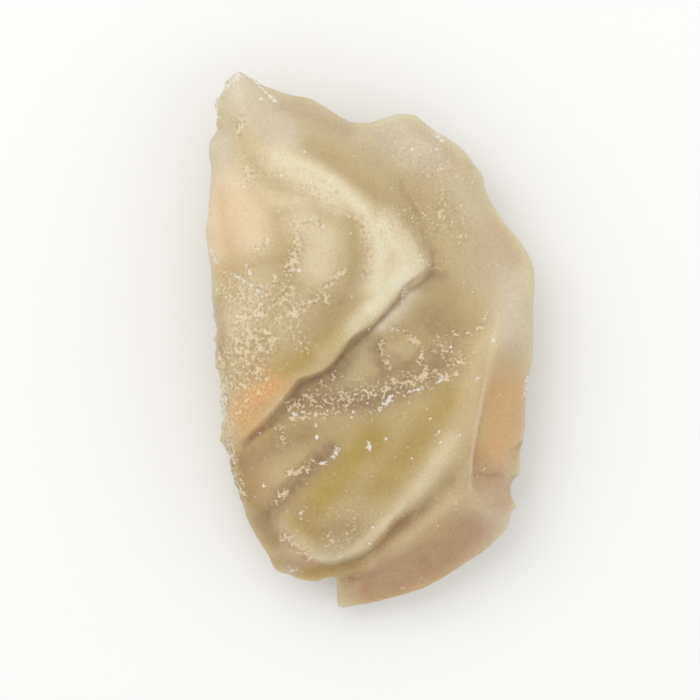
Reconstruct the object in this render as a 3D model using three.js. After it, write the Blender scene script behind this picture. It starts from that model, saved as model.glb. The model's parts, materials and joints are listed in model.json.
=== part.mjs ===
// A raw lump of Libyan desert glass: one piece of natural silica glass, found in the sand and never cut.
// It is a flat, leaf-shaped flake. One face has a raised shelf with a curled tip, a ledge under the tip,
// a sandy channel and long flutes that sweep to the lower right. The other face is a plain old fracture.
//
// Millimetres, +Z up. The lump lies on the small flat facet of its plain face, with the shelf face up.
// +Y runs to the pointed end, and the origin is under the middle of the lump, on the surface it lies on.

import * as THREE from "three";
import { ConvexHull } from "three/addons/math/ConvexHull.js";
import { ImprovedNoise } from "three/addons/math/ImprovedNoise.js";

// Driving dimensions. The facets and scarps bring the uncut thickness down to about 23.
const LENGTH = 81;
const WIDTH = 49.5;
const UNCUT_THICKNESS = 25;

// Spacing of the vertices: round the edge, along lines that stay sharp, over the two faces, and along the
// lines that distances are measured from
const RIM_STEP = 1.15;
const LINE_STEP = 0.95;
const FRONT_STEP = 1.06;
const BACK_STEP = 1.9;
const TRACE_STEP = 0.7;

// Places are percent of the width and of the length from the middle of the outline.
// Heights are percent of the uncut thickness, above the surface that the lump lies on.
const across = (percent) => (percent * WIDTH) / 100;
const along = (percent) => (percent * LENGTH) / 100;
const high = (percent) => (percent * UNCUT_THICKNESS) / 100;
const at = ([x, y]) => new THREE.Vector2(across(x), along(y));

// The outline seen from above, clockwise from the pointed end
const OUTLINE = [
  [-39.4, 50],
  [-33.6, 47.8],
  [-28.2, 46],
  [-23.9, 45.1],
  [-19.1, 44.7],
  [-14.8, 43.5],
  [-10, 41.6],
  [-6.4, 40.3],
  [-2.4, 39.9],
  [1.8, 40.4],
  [6.1, 41.4],
  [10.9, 41.9],
  [13.8, 41.6],
  [16.4, 40.4],
  [19.4, 38.9],
  [22.7, 37.7],
  [27, 36],
  [30.6, 33.6],
  [31.5, 32.4],
  [33.8, 31.1],
  [35.1, 28.1],
  [37.3, 25.2],
  [40.4, 21.7],
  [45.6, 18],
  [48.4, 15.5],
  [49.8, 13.2],
  [50, 9.3],
  [49.5, 5.3],
  [49.7, 1],
  [49.1, -3.6],
  [48, -7.5],
  [47.5, -11.8],
  [47.1, -16.4],
  [46, -19.7],
  [45.6, -21.4],
  [45.3, -24.7],
  [43.5, -26.6],
  [43.6, -29.5],
  [44.2, -31.4],
  [42.7, -33.8],
  [40.7, -35.8],
  [35.9, -38.8],
  [28.9, -41.8],
  [22, -44.3],
  [15, -46.5],
  [8, -47.9],
  [1.1, -49],
  [-4.5, -49.7],
  [-9.4, -50],
  [-10.3, -49],
  [-10.3, -46.9],
  [-10.9, -44.1],
  [-15.6, -44.8],
  [-19.8, -44.5],
  [-23.9, -44],
  [-28.8, -42.7],
  [-30.9, -40.1],
  [-33.6, -37.6],
  [-36.5, -34.6],
  [-38.2, -31.6],
  [-40.3, -28.6],
  [-41.6, -26.1],
  [-43, -22.3],
  [-44.8, -18.8],
  [-45.6, -16.3],
  [-45.6, -11.6],
  [-46.2, -6.9],
  [-47.2, -1],
  [-47.9, 5.5],
  [-48.3, 12.1],
  [-49.7, 17.9],
  [-50, 21.4],
  [-49.2, 26],
  [-48.6, 31.4],
  [-49.3, 35.3],
  [-48.6, 37.3],
  [-46.8, 38.6],
  [-47.2, 41.7],
  [-46.9, 44.3],
  [-45.4, 46.6],
  [-43, 48.5],
];

// How the edge is built at places round the outline: the heights of its upper and lower lips, how far
// the upper lip is set in, and how far from the lip the face goes on rising.
const EDGE = [
  { place: [-39.4, 50], upper: 55, lower: 34, inset: 0.6, roll: 5 },
  { place: [-6.4, 40.3], upper: 52, lower: 37, inset: 0.6, roll: 8 },
  { place: [22.7, 37.7], upper: 52, lower: 37, inset: 0.5, roll: 9 },
  { place: [37.3, 25.2], upper: 52, lower: 35, inset: 0.6, roll: 9 },
  { place: [50, 9.3], upper: 51, lower: 31, inset: 0.8, roll: 7 },
  { place: [47.1, -16.4], upper: 48, lower: 32, inset: 0.6, roll: 8 },
  { place: [43.6, -29.5], upper: 41, lower: 31, inset: 0.4, roll: 9 },
  { place: [28.9, -41.8], upper: 35, lower: 25, inset: 0.5, roll: 11 },
  { place: [-4.5, -49.7], upper: 31, lower: 18, inset: 0.5, roll: 11 },
  { place: [-28.8, -42.7], upper: 42, lower: 25, inset: 0.6, roll: 8 },
  { place: [-41.6, -26.1], upper: 52, lower: 25, inset: 1, roll: 6 },
  { place: [-46.2, -6.9], upper: 60, lower: 25, inset: 1.5, roll: 5 },
  { place: [-50, 21.4], upper: 58, lower: 30, inset: 1.2, roll: 6 },
];
// How fast a place's say fades with the distance from it
const EDGE_FADE = 3;
// How far the shelf face rises from its lip, and the least thickness of the glass, right up to the edge
const CROWN = high(38);
const LEAST_GLASS = 1;

// A facet is a broad flat fracture: its level at its place, the way it falls in degrees from +X, its
// slope, and how wide the rounded corner is where it meets the rest.
const FACETS = [
  { name: "right facet", place: [32, -7], level: 78, falls: -12, slope: 0.42, blend: 1.6 },
  { name: "lower right facet", place: [12, -37], level: 66, falls: -58, slope: 0.42, blend: 1.6 },
  { name: "upper right facet", place: [13, 29], level: 74, falls: 50, slope: 0.28, blend: 2.5 },
  { name: "top facet", place: [-20, 42], level: 66, falls: 46, slope: 0.45, blend: 1.2 },
  { name: "lower left facet", place: [-30, -33], level: 70, falls: 212, slope: 0.5, blend: 2.2 },
  { name: "left facet", place: [-40, 10], level: 81, falls: 178, slope: 0.55, blend: 2 },
];

// A scarp is a step down along a line, with the low side on the left of the line's way. Its drop, the
// width of its wall and how softly its edge rolls over are given at even stations along it. Past its
// foot it heals over the reach, and it fades in and out over the two shares of its length in ends.
const SCARPS = [
  {
    name: "edge of the shelf, round its curled tip and back as a ledge",
    line: [
      [-24, 39.5], [-17, 36.2], [-9, 32.3], [-3.6, 29.4], [2, 26.6], [7.6, 22.8], [12, 18.6], [15, 15.4],
      [16.3, 13.2], [14.2, 11.6], [10.4, 10.2], [7.4, 8.3], [4.4, 5.9], [-1.2, 2.7], [-7.4, -0.3],
      [-10.8, -3.2], [-14, -5.4], [-21.4, -7.1], [-24, -9.1], [-27.4, -11.6], [-34.2, -15.8], [-42, -19.3],
    ],
    drop: [4, 8, 12, 14, 13, 12, 9, 6],
    wall: [6, 5, 3.8, 1.2, 0.7, 0.7, 0.7, 0.8],
    soft: [1, 1, 1, 0.4, 0, 0, 0, 0],
    reach: 13,
    ends: [0.2, 0.08],
  },
  {
    name: "lower lip of the sandy channel",
    line: [
      [-24, -14.6], [-18, -13.4], [-13.6, -13], [-4.5, -12.9], [1.2, -12.1], [8.2, -9.9], [15.2, -8.6],
      [21.2, -7.3], [24.8, -4.9], [29.7, -0.8],
    ],
    drop: [1.2, 1.6, 2, 2, 2, 1],
    wall: [1.4, 1.5, 1.6, 1.8, 2, 2.4],
    soft: [0.6, 0.6, 0.6, 0.6, 0.8, 1],
    reach: 5,
    ends: [0.1, 0.2],
  },
  {
    name: "edge of the lower lobe",
    line: [
      [27.6, -17.7], [23, -21.9], [18.2, -25.6], [13, -29], [9.1, -31.2], [6.1, -33], [2.7, -35.8],
      [0, -37.5], [-4.2, -39.3], [-8.5, -40.4], [-12.1, -40.8], [-15.5, -40.5], [-18.8, -39.1],
      [-21.5, -37.7], [-25.5, -35.4], [-28.9, -33.5], [-32.4, -32.7], [-37, -31.2], [-41, -29.3],
    ],
    drop: [2, 4, 7, 9, 8, 6, 5, 4],
    wall: [5, 3.4, 1.8, 1, 0.9, 1, 1.4, 1.6],
    soft: [1, 1, 0.5, 0, 0, 0, 0.2, 0.4],
    reach: 9,
    ends: [0.22, 0.05],
  },
  {
    name: "foot of the second layer",
    line: [
      [29, -27.7], [25.5, -30.1], [19.1, -33.7], [12.1, -37.1], [6.1, -39.5], [1.2, -41.4], [-2.7, -42.6],
      [-6.5, -43.1], [-9.6, -43.7], [-12.5, -45.5],
    ],
    drop: [1, 2, 3, 6, 11],
    wall: [4, 3.4, 2.6, 1.4, 0.8],
    soft: [1, 1, 1, 0.4, 0],
    reach: 16,
    ends: [0.25, 0],
  },
  {
    name: "edge of the right facet",
    line: [
      [43, 7], [39.4, 1.6], [37, -1.8], [34.8, -5.1], [32.7, -8.4], [31.4, -12.5], [30.3, -17.3],
      [29.4, -22.1], [28.8, -27.1],
    ],
    drop: [2, 2.5, 3, 4, 5],
    wall: [4, 2.4, 1.3, 0.9, 0.9],
    soft: [1, 1, 0.3, 0, 0],
    reach: 12,
    ends: [0.3, 0.07],
  },
  {
    name: "bevel by the pointed end",
    line: [[-41, 50.5], [-38.2, 49], [-35.2, 47.5], [-32.4, 46.2], [-28.2, 43.8], [-24.8, 41.4], [-22.1, 38]],
    drop: [9, 11, 9, 4],
    wall: [1.2, 1.6, 2.8, 4.5],
    soft: [0, 0, 0.5, 1],
    reach: 20,
    ends: [0, 0.3],
  },
];

// A swell is a long soft ridge, or a trough where its rise is below zero. It falls away over its width
// and fades in and out over the two shares of its length in ends.
const SWELLS = [
  {
    name: "tongue of the shelf",
    line: [[-23.6, 34.1], [-12.1, 29.7], [-1.8, 25.4], [3, 22.1], [7.3, 18.6], [12.5, 14.8]],
    rise: 6,
    width: 3.8,
    ends: [0.4, 0.3],
  },
  {
    name: "ridge behind the ledge",
    line: [
      [13.5, 16], [9.3, 11.8], [3, 8], [-1.8, 5.3], [-6.7, 2.4], [-12.1, -0.6], [-17.6, -3], [-27.3, -8],
    ],
    rise: 4,
    width: 3,
    ends: [0.25, 0.45],
  },
  {
    name: "curled valley in the shelf",
    line: [
      [-7, 22.5], [-4, 18], [-2.8, 13.8], [-4, 10.3], [-7.4, 6.9], [-12.5, 3.1], [-18, 0.1], [-28.2, -5.5],
    ],
    rise: -6.5,
    width: 2.5,
    ends: [0.35, 0.4],
  },
  {
    name: "valley outside the tongue",
    line: [[-21.2, 38.2], [-10, 33.4], [-3, 30.6], [3.4, 27.6], [9, 24], [14.5, 19.6]],
    rise: -5,
    width: 2.7,
    ends: [0.35, 0.35],
  },
  {
    name: "fold above the valley",
    line: [[-15.2, 40], [-7, 37.6], [1, 34.8], [8, 32.4], [15, 29.6], [22, 26]],
    rise: 3,
    width: 2.6,
    ends: [0.3, 0.35],
  },
  {
    name: "hollow right of the tip",
    line: [[20, 9], [25.5, 4], [27, -0.5]],
    rise: -5,
    width: 4.2,
    ends: [0.35, 0.35],
  },
  {
    name: "streak of the lower lobe",
    line: [[-10.3, -19.7], [-19.7, -25.1], [-25.8, -28.4], [-31.5, -31.9]],
    rise: -3,
    width: 1.8,
    ends: [0.25, 0.25],
  },
  {
    name: "back of the lower lobe",
    line: [[4.2, -18.4], [-2.4, -22.5], [-7.9, -26.9], [-12.1, -31.4], [-16.4, -35.4]],
    rise: 5,
    width: 4.4,
    ends: [0.3, 0.3],
  },
  {
    name: "first flute",
    line: [
      [38.2, 6], [35.2, 0.8], [32.1, -4], [29.4, -8.8], [27.3, -13.2], [24.2, -17.9], [20, -22.5],
      [14.5, -26.7], [7.6, -31.4],
    ],
    rise: 4,
    width: 2.6,
    ends: [0.3, 0.3],
  },
  {
    name: "groove between the flutes",
    line: [[28, -21.5], [22, -26.8], [16, -31], [10.4, -34.4], [5.5, -37.2]],
    rise: -4,
    width: 1.9,
    ends: [0.3, 0.25],
  },
  {
    name: "second flute",
    line: [[27, -25.6], [22.6, -29.2], [15.6, -33.8], [8, -37.8], [2, -40.2]],
    rise: 3,
    width: 1.6,
    ends: [0.3, 0.25],
  },
  {
    name: "top right shoulder",
    line: [[6, 38], [16, 35], [25, 31], [32, 25]],
    rise: 5,
    width: 3.6,
    ends: [0.3, 0.3],
  },
  {
    name: "left swell",
    line: [[-42, 26], [-39, 19], [-37, 12]],
    rise: 4,
    width: 4.6,
    ends: [0.35, 0.35],
  },
  {
    name: "crusty swell",
    line: [[-41, -9.5], [-31.5, -12.5]],
    rise: 3,
    width: 3.4,
    ends: [0.5, 0.5],
  },
];

// A dish is a round hollow, or a knob where its depth is below zero. A sharp one is the scar of a flake
// that was struck off.
const DISHES = [
  { name: "bowl of the shelf", place: [-20, 8], radii: [12, 17], turn: -30, depth: 4 },
  { name: "knob in the channel", place: [8.5, -2.3], radii: [4.2, 3.8], turn: 20, depth: -7 },
  { name: "upper hollow", place: [-31, 29], radii: [6, 5], turn: 0, depth: 4 },
  { name: "right hollow", place: [36, -36], radii: [6, 8], turn: 35, depth: 3 },
];

// The plain face: the flat facet that the lump rests on, the scars round it, and two old step fractures,
// all cut upwards into the glass. The power is how slowly the face leaves the facet, and the growth is
// how soon the scars have their full depth on the way from the facet to the edge.
const REST_FACET = [
  [-24, 9], [-14, 16], [2, 17.5], [15, 12], [19, 1], [14, -10], [3, -19], [-9, -21], [-19, -14], [-25, -3],
];
const BACK_POWER = 1.5;
const BACK_GROWTH = 3;
const BACK_DISHES = [
  { name: "long scar", place: [30, 17], radii: [13, 24], turn: 22, depth: 9, sharp: true },
  { name: "lower scar", place: [-20, -37], radii: [15, 10], turn: 24, depth: 11, sharp: true },
  { name: "side scar", place: [-41, 6], radii: [9, 17], turn: 6, depth: 11, sharp: true },
  { name: "tip scar", place: [-24, 40], radii: [11, 8], turn: 35, depth: 7, sharp: true },
  { name: "corner scar", place: [33, -29], radii: [10, 12], turn: 30, depth: 9, sharp: true },
];
const BACK_SCARPS = [
  {
    name: "long step of the plain face",
    line: [[-40, 28], [-30, 27], [-20, 23.5], [-8, 22.6], [4, 25], [14, 30], [20, 37]],
    drop: [4, 8, 9, 7, 4],
    wall: [1.2, 1, 0.9, 1, 1.6],
    soft: [0.6, 0, 0, 0, 0.5],
    reach: 11,
    ends: [0.25, 0.25],
  },
  {
    name: "short step of the plain face",
    line: [[33, -6], [28, -16], [19, -23], [8, -26.5], [-4, -25], [-16, -27]],
    drop: [3, 6, 7, 4],
    wall: [1.6, 1, 0.9, 1],
    soft: [0.6, 0, 0, 0.3],
    reach: 8,
    ends: [0.3, 0.25],
  },
];

// Low waves that no feature accounts for: how long they are, how high, and how far they are raised as a
// whole. Each has a layer of the noise to itself.
const FRONT_WAVES = [
  { layer: 1, length: 9, height: 0.5, lift: 0 },
  { layer: 2, length: 4, height: 0.2, lift: 0 },
];
const BACK_WAVES = [{ layer: 3, length: 7, height: 0.45, lift: 0.55 }];

// The wall round the edge has two rings between its lips, at shares of the way down and set in a little.
// They are rough as broken glass is, fully so where the wall is this tall. The lower lip is set in by a
// share of the upper lip's inset.
const WALL_RINGS = [
  { layer: 6, share: 0.36, inset: 0 },
  { layer: 7, share: 0.72, inset: 0.12 },
];
const WALL_ROUGHNESS = 0.35;
const WALL_WAVE = 1.7;
const ROUGH_WALL = 5;
const LOWER_INSET = 0.6;

// How near two vertices may be, as shares of the step, and how far the even fill is shaken
const LINE_ROOM = 0.45;
const FILL_ROOM = 0.62;
const SHAKE = 0.22;
const SHAKE_WAVE = 1.8;

// A scarp's line is kept where the scarp is at least this strong and its wall at most this wide.
const KEPT_STRENGTH = 0.1;
const KEPT_WALL = 1.7;

const LAYER_GAP = 7.3;
const noise = new ImprovedNoise();
const waves = (x, y, length, layer) => noise.noise(x / length + layer, y / length, layer * LAYER_GAP);
const waveHeight = (wave, x, y) => wave.lift + wave.height * waves(x, y, wave.length, wave.layer);

const clamp = (x) => Math.min(1, Math.max(0, x));
const ease = (x) => clamp(x) ** 2 * (3 - 2 * clamp(x));
const mix = (a, b, share) => a + (b - a) * share;

// A feature's line as a fine polyline
function traced(feature) {
  const curve = new THREE.SplineCurve(feature.line.map(at));
  return { ...feature, curve, trace: curve.getSpacedPoints(Math.ceil(curve.getLength() / TRACE_STEP)) };
}

// Where a point lies beside a traced line: its distance from it, the same with a sign that is positive on
// the left of the line's way, and its share of the way along
function beside(trace, x, y) {
  let best = { gap: Infinity, side: 0, share: 0 };
  for (let i = 0; i + 1 < trace.length; i++) {
    const a = trace[i];
    const b = trace[i + 1];
    const dx = b.x - a.x;
    const dy = b.y - a.y;
    const t = clamp(((x - a.x) * dx + (y - a.y) * dy) / (dx * dx + dy * dy));
    const gap = Math.hypot(x - a.x - t * dx, y - a.y - t * dy);
    if (gap < best.gap) {
      const left = (y - a.y) * dx - (x - a.x) * dy;
      best = { gap, side: left < 0 ? -gap : gap, share: (i + t) / (trace.length - 1) };
    }
  }
  return best;
}

// A value given at even stations, at a share of the way along
function station(stations, share) {
  const place = clamp(share) * (stations.length - 1);
  const i = Math.min(Math.floor(place), stations.length - 2);
  return mix(stations[i], stations[i + 1], place - i);
}

// A feature's strength, which fades in and out over the shares of its length in ends
function strength(feature, share) {
  const [start, end] = feature.ends;
  return (start ? ease(share / start) : 1) * (end ? ease((1 - share) / end) : 1);
}

function scarpDrop(scarp, x, y) {
  const { side, share } = beside(scarp.trace, x, y);
  if (side <= 0) return 0;
  const drop = high(station(scarp.drop, share)) * strength(scarp, share);
  const wall = station(scarp.wall, share);
  const q = side / wall;
  if (q >= 1) return drop * Math.exp(-(((side - wall) / scarp.reach) ** 2));
  return drop * mix(1 - (1 - q) ** 2, ease(q), station(scarp.soft, share));
}

function swellRise(swell, x, y) {
  const { gap, share } = beside(swell.trace, x, y);
  return high(swell.rise) * Math.exp(-((gap / swell.width) ** 2)) * strength(swell, share);
}

// The height of a facet's plane
function facetLevel(facet, x, y) {
  const middle = at(facet.place);
  const way = THREE.MathUtils.degToRad(facet.falls);
  return high(facet.level) - facet.slope * ((x - middle.x) * Math.cos(way) + (y - middle.y) * Math.sin(way));
}

// The lower of two heights, with a rounded corner where they cross
function lower(a, b, blend) {
  const share = clamp(0.5 + (b - a) / (2 * blend));
  return mix(b, a, share) - blend * share * (1 - share);
}

// How far a point is from a dish's middle, as a share of its radius in that direction
function shareOut(dish, x, y) {
  const middle = at(dish.place);
  const turn = THREE.MathUtils.degToRad(dish.turn);
  const u = (x - middle.x) * Math.cos(turn) + (y - middle.y) * Math.sin(turn);
  const v = (y - middle.y) * Math.cos(turn) - (x - middle.x) * Math.sin(turn);
  return Math.hypot(u / dish.radii[0], v / dish.radii[1]);
}

function dishDepth(dish, x, y) {
  const inside = Math.max(0, 1 - shareOut(dish, x, y) ** 2);
  return high(dish.depth) * (dish.sharp ? inside : inside ** 2);
}

const frontScarps = SCARPS.map(traced);
const backScarps = BACK_SCARPS.map(traced);
const frontSwells = SWELLS.map(traced);

// A closed curve through places
function closedCurve(places) {
  const points = places.map(at).map((p) => new THREE.Vector3(p.x, p.y, 0));
  return new THREE.CatmullRomCurve3(points, true, "centripetal");
}

// The outline's points, with the inward direction at each
const outlineCurve = closedCurve(OUTLINE);
const RIM_COUNT = Math.round(outlineCurve.getLength() / RIM_STEP);
const rim = Array.from({ length: RIM_COUNT }, (_, i) => {
  const point = outlineCurve.getPointAt(i / RIM_COUNT);
  const tangent = outlineCurve.getTangentAt(i / RIM_COUNT);
  return { x: point.x, y: point.y, inX: tangent.y, inY: -tangent.x };
});
const rimTrace = [...rim, rim[0]];
const depthIn = (x, y) => beside(rimTrace, x, y).gap;

const restCurve = closedCurve(REST_FACET);
const restTrace = restCurve.getSpacedPoints(Math.round((2 * restCurve.getLength()) / LINE_STEP));
const restFacet = restTrace.slice(1);

// The edge's build at any place: the stations' values, weighted by how near each is
const edges = EDGE.map((edge) => ({ ...edge, middle: at(edge.place) }));
function edgeNear(x, y) {
  const sum = { upper: 0, lower: 0, inset: 0, roll: 0 };
  let total = 0;
  for (const edge of edges) {
    const weight = 1 / Math.hypot(1, x - edge.middle.x, y - edge.middle.y) ** EDGE_FADE;
    total += weight;
    for (const key of Object.keys(sum)) sum[key] += weight * edge[key];
  }
  for (const key of Object.keys(sum)) sum[key] /= total;
  return sum;
}

// The upper face
function frontHeight(x, y) {
  const edge = edgeNear(x, y);
  let z = high(edge.upper) + CROWN * (1 - Math.exp(-depthIn(x, y) / edge.roll));
  for (const facet of FACETS) z = lower(z, facetLevel(facet, x, y), facet.blend);
  for (const swell of frontSwells) z += swellRise(swell, x, y);
  for (const scarp of frontScarps) z -= scarpDrop(scarp, x, y);
  for (const dish of DISHES) z -= dishDepth(dish, x, y);
  for (const wave of FRONT_WAVES) z += waveHeight(wave, x, y);
  return Math.max(z, high(edge.lower) + LEAST_GLASS);
}

// The lower face: flat on the facet, rising from it to the edge, and always below the upper face
function backHeight(x, y) {
  if (within(restFacet, x, y)) return 0;
  const fromRest = beside(restTrace, x, y).gap;
  const share = fromRest / (fromRest + depthIn(x, y));
  let cut = 0;
  for (const dish of BACK_DISHES) cut += dishDepth(dish, x, y);
  for (const scarp of backScarps) cut += scarpDrop(scarp, x, y);
  for (const wave of BACK_WAVES) cut += waveHeight(wave, x, y);
  const z = high(edgeNear(x, y).lower) * share ** BACK_POWER + cut * ease(share * BACK_GROWTH);
  return Math.min(z, frontHeight(x, y) - LEAST_GLASS);
}

// Points of a face: its lip, the lines that have to stay sharp, and an even fill between them
function facePoints(lip, lines, step) {
  const kept = [...lip];
  const cells = new Map();
  const cellOf = (p) => `${Math.floor(p.x / step)},${Math.floor(p.y / step)}`;
  const add = (p) => cells.set(cellOf(p), [...(cells.get(cellOf(p)) ?? []), p]);
  kept.forEach(add);
  const clear = (p, room) => {
    const column = Math.floor(p.x / step);
    const row = Math.floor(p.y / step);
    for (let i = column - 1; i <= column + 1; i++) {
      for (let j = row - 1; j <= row + 1; j++) {
        const near = cells.get(`${i},${j}`) ?? [];
        if (near.some((q) => Math.hypot(p.x - q.x, p.y - q.y) < room)) return false;
      }
    }
    return true;
  };
  const offer = (p, room) => {
    if (!within(lip, p.x, p.y) || !clear(p, room)) return;
    kept.push(p);
    add(p);
  };
  for (const p of lines) offer(p, LINE_ROOM * LINE_STEP);
  const row = step * Math.sqrt(0.75);
  for (let j = Math.floor(-LENGTH / 2 / row); j * row < LENGTH / 2; j++) {
    for (let i = Math.floor(-WIDTH / 2 / step) - 1; i * step < WIDTH / 2; i++) {
      const x = (i + (j % 2 ? 0.5 : 0)) * step;
      const y = j * row;
      const shakeX = SHAKE * step * waves(x, y, SHAKE_WAVE, 4);
      const shakeY = SHAKE * step * waves(x, y, SHAKE_WAVE, 5);
      offer({ x: x + shakeX, y: y + shakeY }, FILL_ROOM * step);
    }
  }
  return kept;
}

// True if a place is inside a closed ring of points
function within(ring, x, y) {
  let inside = false;
  for (let i = 0, j = ring.length - 1; i < ring.length; j = i++) {
    const a = ring[i];
    const b = ring[j];
    if (a.y > y !== b.y > y && x < ((b.x - a.x) * (y - a.y)) / (b.y - a.y) + a.x) inside = !inside;
  }
  return inside;
}

// The Delaunay triangles of a face's points: the underside of the hull of the points lifted to a bowl
function triangles(points, ring) {
  const lifted = points.map((p, index) => {
    const point = new THREE.Vector3(p.x, p.y, (p.x ** 2 + p.y ** 2) / WIDTH);
    return Object.assign(point, { index });
  });
  const found = [];
  for (const face of new ConvexHull().setFromPoints(lifted).faces) {
    if (face.normal.z >= 0) continue;
    const [a, b, c] = [face.edge, face.edge.next, face.edge.next.next].map((edge) => edge.head().point.index);
    const x = (points[a].x + points[b].x + points[c].x) / 3;
    const y = (points[a].y + points[b].y + points[c].y) / 3;
    if (within(ring, x, y)) found.push([a, b, c]);
  }
  return found;
}

// Points to keep along scarps: the edge and the foot, where the wall is narrow
function scarpLines(scarps) {
  const points = [];
  for (const scarp of scarps) {
    const count = Math.ceil(scarp.curve.getLength() / LINE_STEP);
    for (let i = 0; i <= count; i++) {
      const share = i / count;
      const wall = station(scarp.wall, share);
      if (strength(scarp, share) < KEPT_STRENGTH || wall > KEPT_WALL) continue;
      const p = scarp.curve.getPointAt(share);
      const way = scarp.curve.getTangentAt(share);
      points.push({ x: p.x, y: p.y }, { x: p.x - way.y * wall, y: p.y + way.x * wall });
    }
  }
  return points;
}

// The edge of a dish, as points to keep
function ringPoints(dish) {
  const middle = at(dish.place);
  const turn = THREE.MathUtils.degToRad(dish.turn);
  const ellipse = new THREE.EllipseCurve(middle.x, middle.y, ...dish.radii, 0, 2 * Math.PI, false, turn);
  return ellipse.getSpacedPoints(Math.round(ellipse.getLength() / BACK_STEP)).slice(1);
}

// The lump: two faces over one outline, joined by a wall of three bands round the edge
function lumpGeometry() {
  const inward = (p, distance) => ({ x: p.x + p.inX * distance, y: p.y + p.inY * distance });
  const upperLip = rim.map((p) => inward(p, edgeNear(p.x, p.y).inset));
  const lowerLip = rim.map((p) => inward(p, LOWER_INSET * edgeNear(p.x, p.y).inset));
  const front = facePoints(upperLip, scarpLines(frontScarps), FRONT_STEP);
  const backLines = [...restFacet, ...scarpLines(backScarps), ...BACK_DISHES.flatMap(ringPoints)];
  const back = facePoints(lowerLip, backLines, BACK_STEP);

  const vertices = [];
  const faces = [];
  const put = (points, height) => {
    const first = vertices.length;
    for (const p of points) vertices.push([p.x, p.y, height(p.x, p.y)]);
    return first;
  };
  const firstFront = put(front, frontHeight);
  const firstBack = put(back, backHeight);
  for (const [a, b, c] of triangles(front, upperLip)) faces.push([a, c, b].map((i) => firstFront + i));
  for (const [a, b, c] of triangles(back, lowerLip)) faces.push([a, b, c].map((i) => firstBack + i));

  const middles = WALL_RINGS.map((ring) => {
    const first = vertices.length;
    rim.forEach((p, i) => {
      const top = vertices[firstFront + i][2];
      const bottom = vertices[firstBack + i][2];
      const rough = WALL_ROUGHNESS * mix(0.5, 1, waves(p.x, p.y, WALL_WAVE, ring.layer));
      const q = inward(p, ring.inset + rough * clamp((top - bottom) / ROUGH_WALL));
      vertices.push([q.x, q.y, mix(top, bottom, ring.share)]);
    });
    return first;
  });
  const bands = [firstFront, ...middles, firstBack];
  for (let band = 0; band + 1 < bands.length; band++) {
    for (let i = 0; i < RIM_COUNT; i++) {
      const next = (i + 1) % RIM_COUNT;
      const above = [bands[band] + i, bands[band] + next];
      const below = [bands[band + 1] + i, bands[band + 1] + next];
      faces.push([...above, below[0]], [above[1], below[1], below[0]]);
    }
  }

  const geometry = new THREE.BufferGeometry();
  geometry.setAttribute("position", new THREE.Float32BufferAttribute(vertices.flat(), 3));
  geometry.setIndex(faces.flat());
  geometry.computeBoundingBox();
  const middle = geometry.boundingBox.getCenter(new THREE.Vector3());
  geometry.translate(-middle.x, -middle.y, 0);
  geometry.computeVertexNormals();
  return geometry;
}

const glass = new THREE.Mesh(
  lumpGeometry(),
  new THREE.MeshStandardMaterial({ color: 0xc9bb8c, roughness: 0.5, metalness: 0 }),
);
glass.name = "glass_lump";

const root = new THREE.Group();
root.add(glass);

export default root;
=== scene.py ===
"""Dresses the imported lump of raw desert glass: one wind-frosted, cloudy yellow-green stone.

The lump lies on its flat facet with the shelf face up. Lengths are metres unless a name says
millimetres, and places on the stone are percent of its width and length from its middle.
"""

import json
import math

import bpy
import numpy as np
from bpy.props import FloatProperty, FloatVectorProperty, IntProperty, PointerProperty
from bpy.types import Operator, Panel, PropertyGroup
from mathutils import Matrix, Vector
from mathutils.bvhtree import BVHTree

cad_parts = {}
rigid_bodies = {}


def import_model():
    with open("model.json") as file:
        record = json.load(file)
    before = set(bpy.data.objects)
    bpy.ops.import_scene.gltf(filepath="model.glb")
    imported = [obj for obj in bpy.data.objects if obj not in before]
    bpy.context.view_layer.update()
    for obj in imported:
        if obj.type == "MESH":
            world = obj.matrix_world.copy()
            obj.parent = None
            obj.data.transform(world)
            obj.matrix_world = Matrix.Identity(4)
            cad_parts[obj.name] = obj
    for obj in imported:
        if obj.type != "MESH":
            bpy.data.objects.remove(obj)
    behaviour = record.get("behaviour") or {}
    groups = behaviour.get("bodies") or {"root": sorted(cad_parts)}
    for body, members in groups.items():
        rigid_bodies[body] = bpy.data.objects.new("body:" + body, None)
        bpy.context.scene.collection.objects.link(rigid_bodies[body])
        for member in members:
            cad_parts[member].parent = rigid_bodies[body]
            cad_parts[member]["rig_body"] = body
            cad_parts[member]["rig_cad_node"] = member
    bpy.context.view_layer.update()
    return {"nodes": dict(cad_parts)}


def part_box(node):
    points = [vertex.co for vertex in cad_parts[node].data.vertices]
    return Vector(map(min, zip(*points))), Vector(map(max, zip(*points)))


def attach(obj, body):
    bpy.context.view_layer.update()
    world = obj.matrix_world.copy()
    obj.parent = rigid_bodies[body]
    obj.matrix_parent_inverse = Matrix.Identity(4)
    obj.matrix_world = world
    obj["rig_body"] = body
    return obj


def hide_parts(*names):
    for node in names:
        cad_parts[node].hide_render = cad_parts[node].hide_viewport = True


bl_info = {
    "name": "Raw desert glass",
    "version": (1, 0, 0),
    "blender": (4, 5, 0),
    "location": "3D View > Sidebar > Desert Glass",
    "description": "Models and finishes one raw lump of desert glass on a pale stage",
    "category": "Object",
}

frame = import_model()
NODE = "glass_lump"
LOW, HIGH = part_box(NODE)
SIZE = HIGH - LOW
MIDDLE = (LOW + HIGH) / 2
MM = 0.001


def from_hex(text):
    """An sRGB hex colour as linear red, green and blue."""
    parts = [int(text[i:i + 2], 16) / 255 for i in (1, 3, 5)]
    return [p / 12.92 if p <= 0.04045 else ((p + 0.055) / 1.055) ** 2.4 for p in parts]


def colour(name, text, description):
    """A colour setting of the panel."""
    return FloatVectorProperty(
        name=name, description=description, subtype="COLOR", size=3, min=0, max=1, default=from_hex(text)
    )


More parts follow.
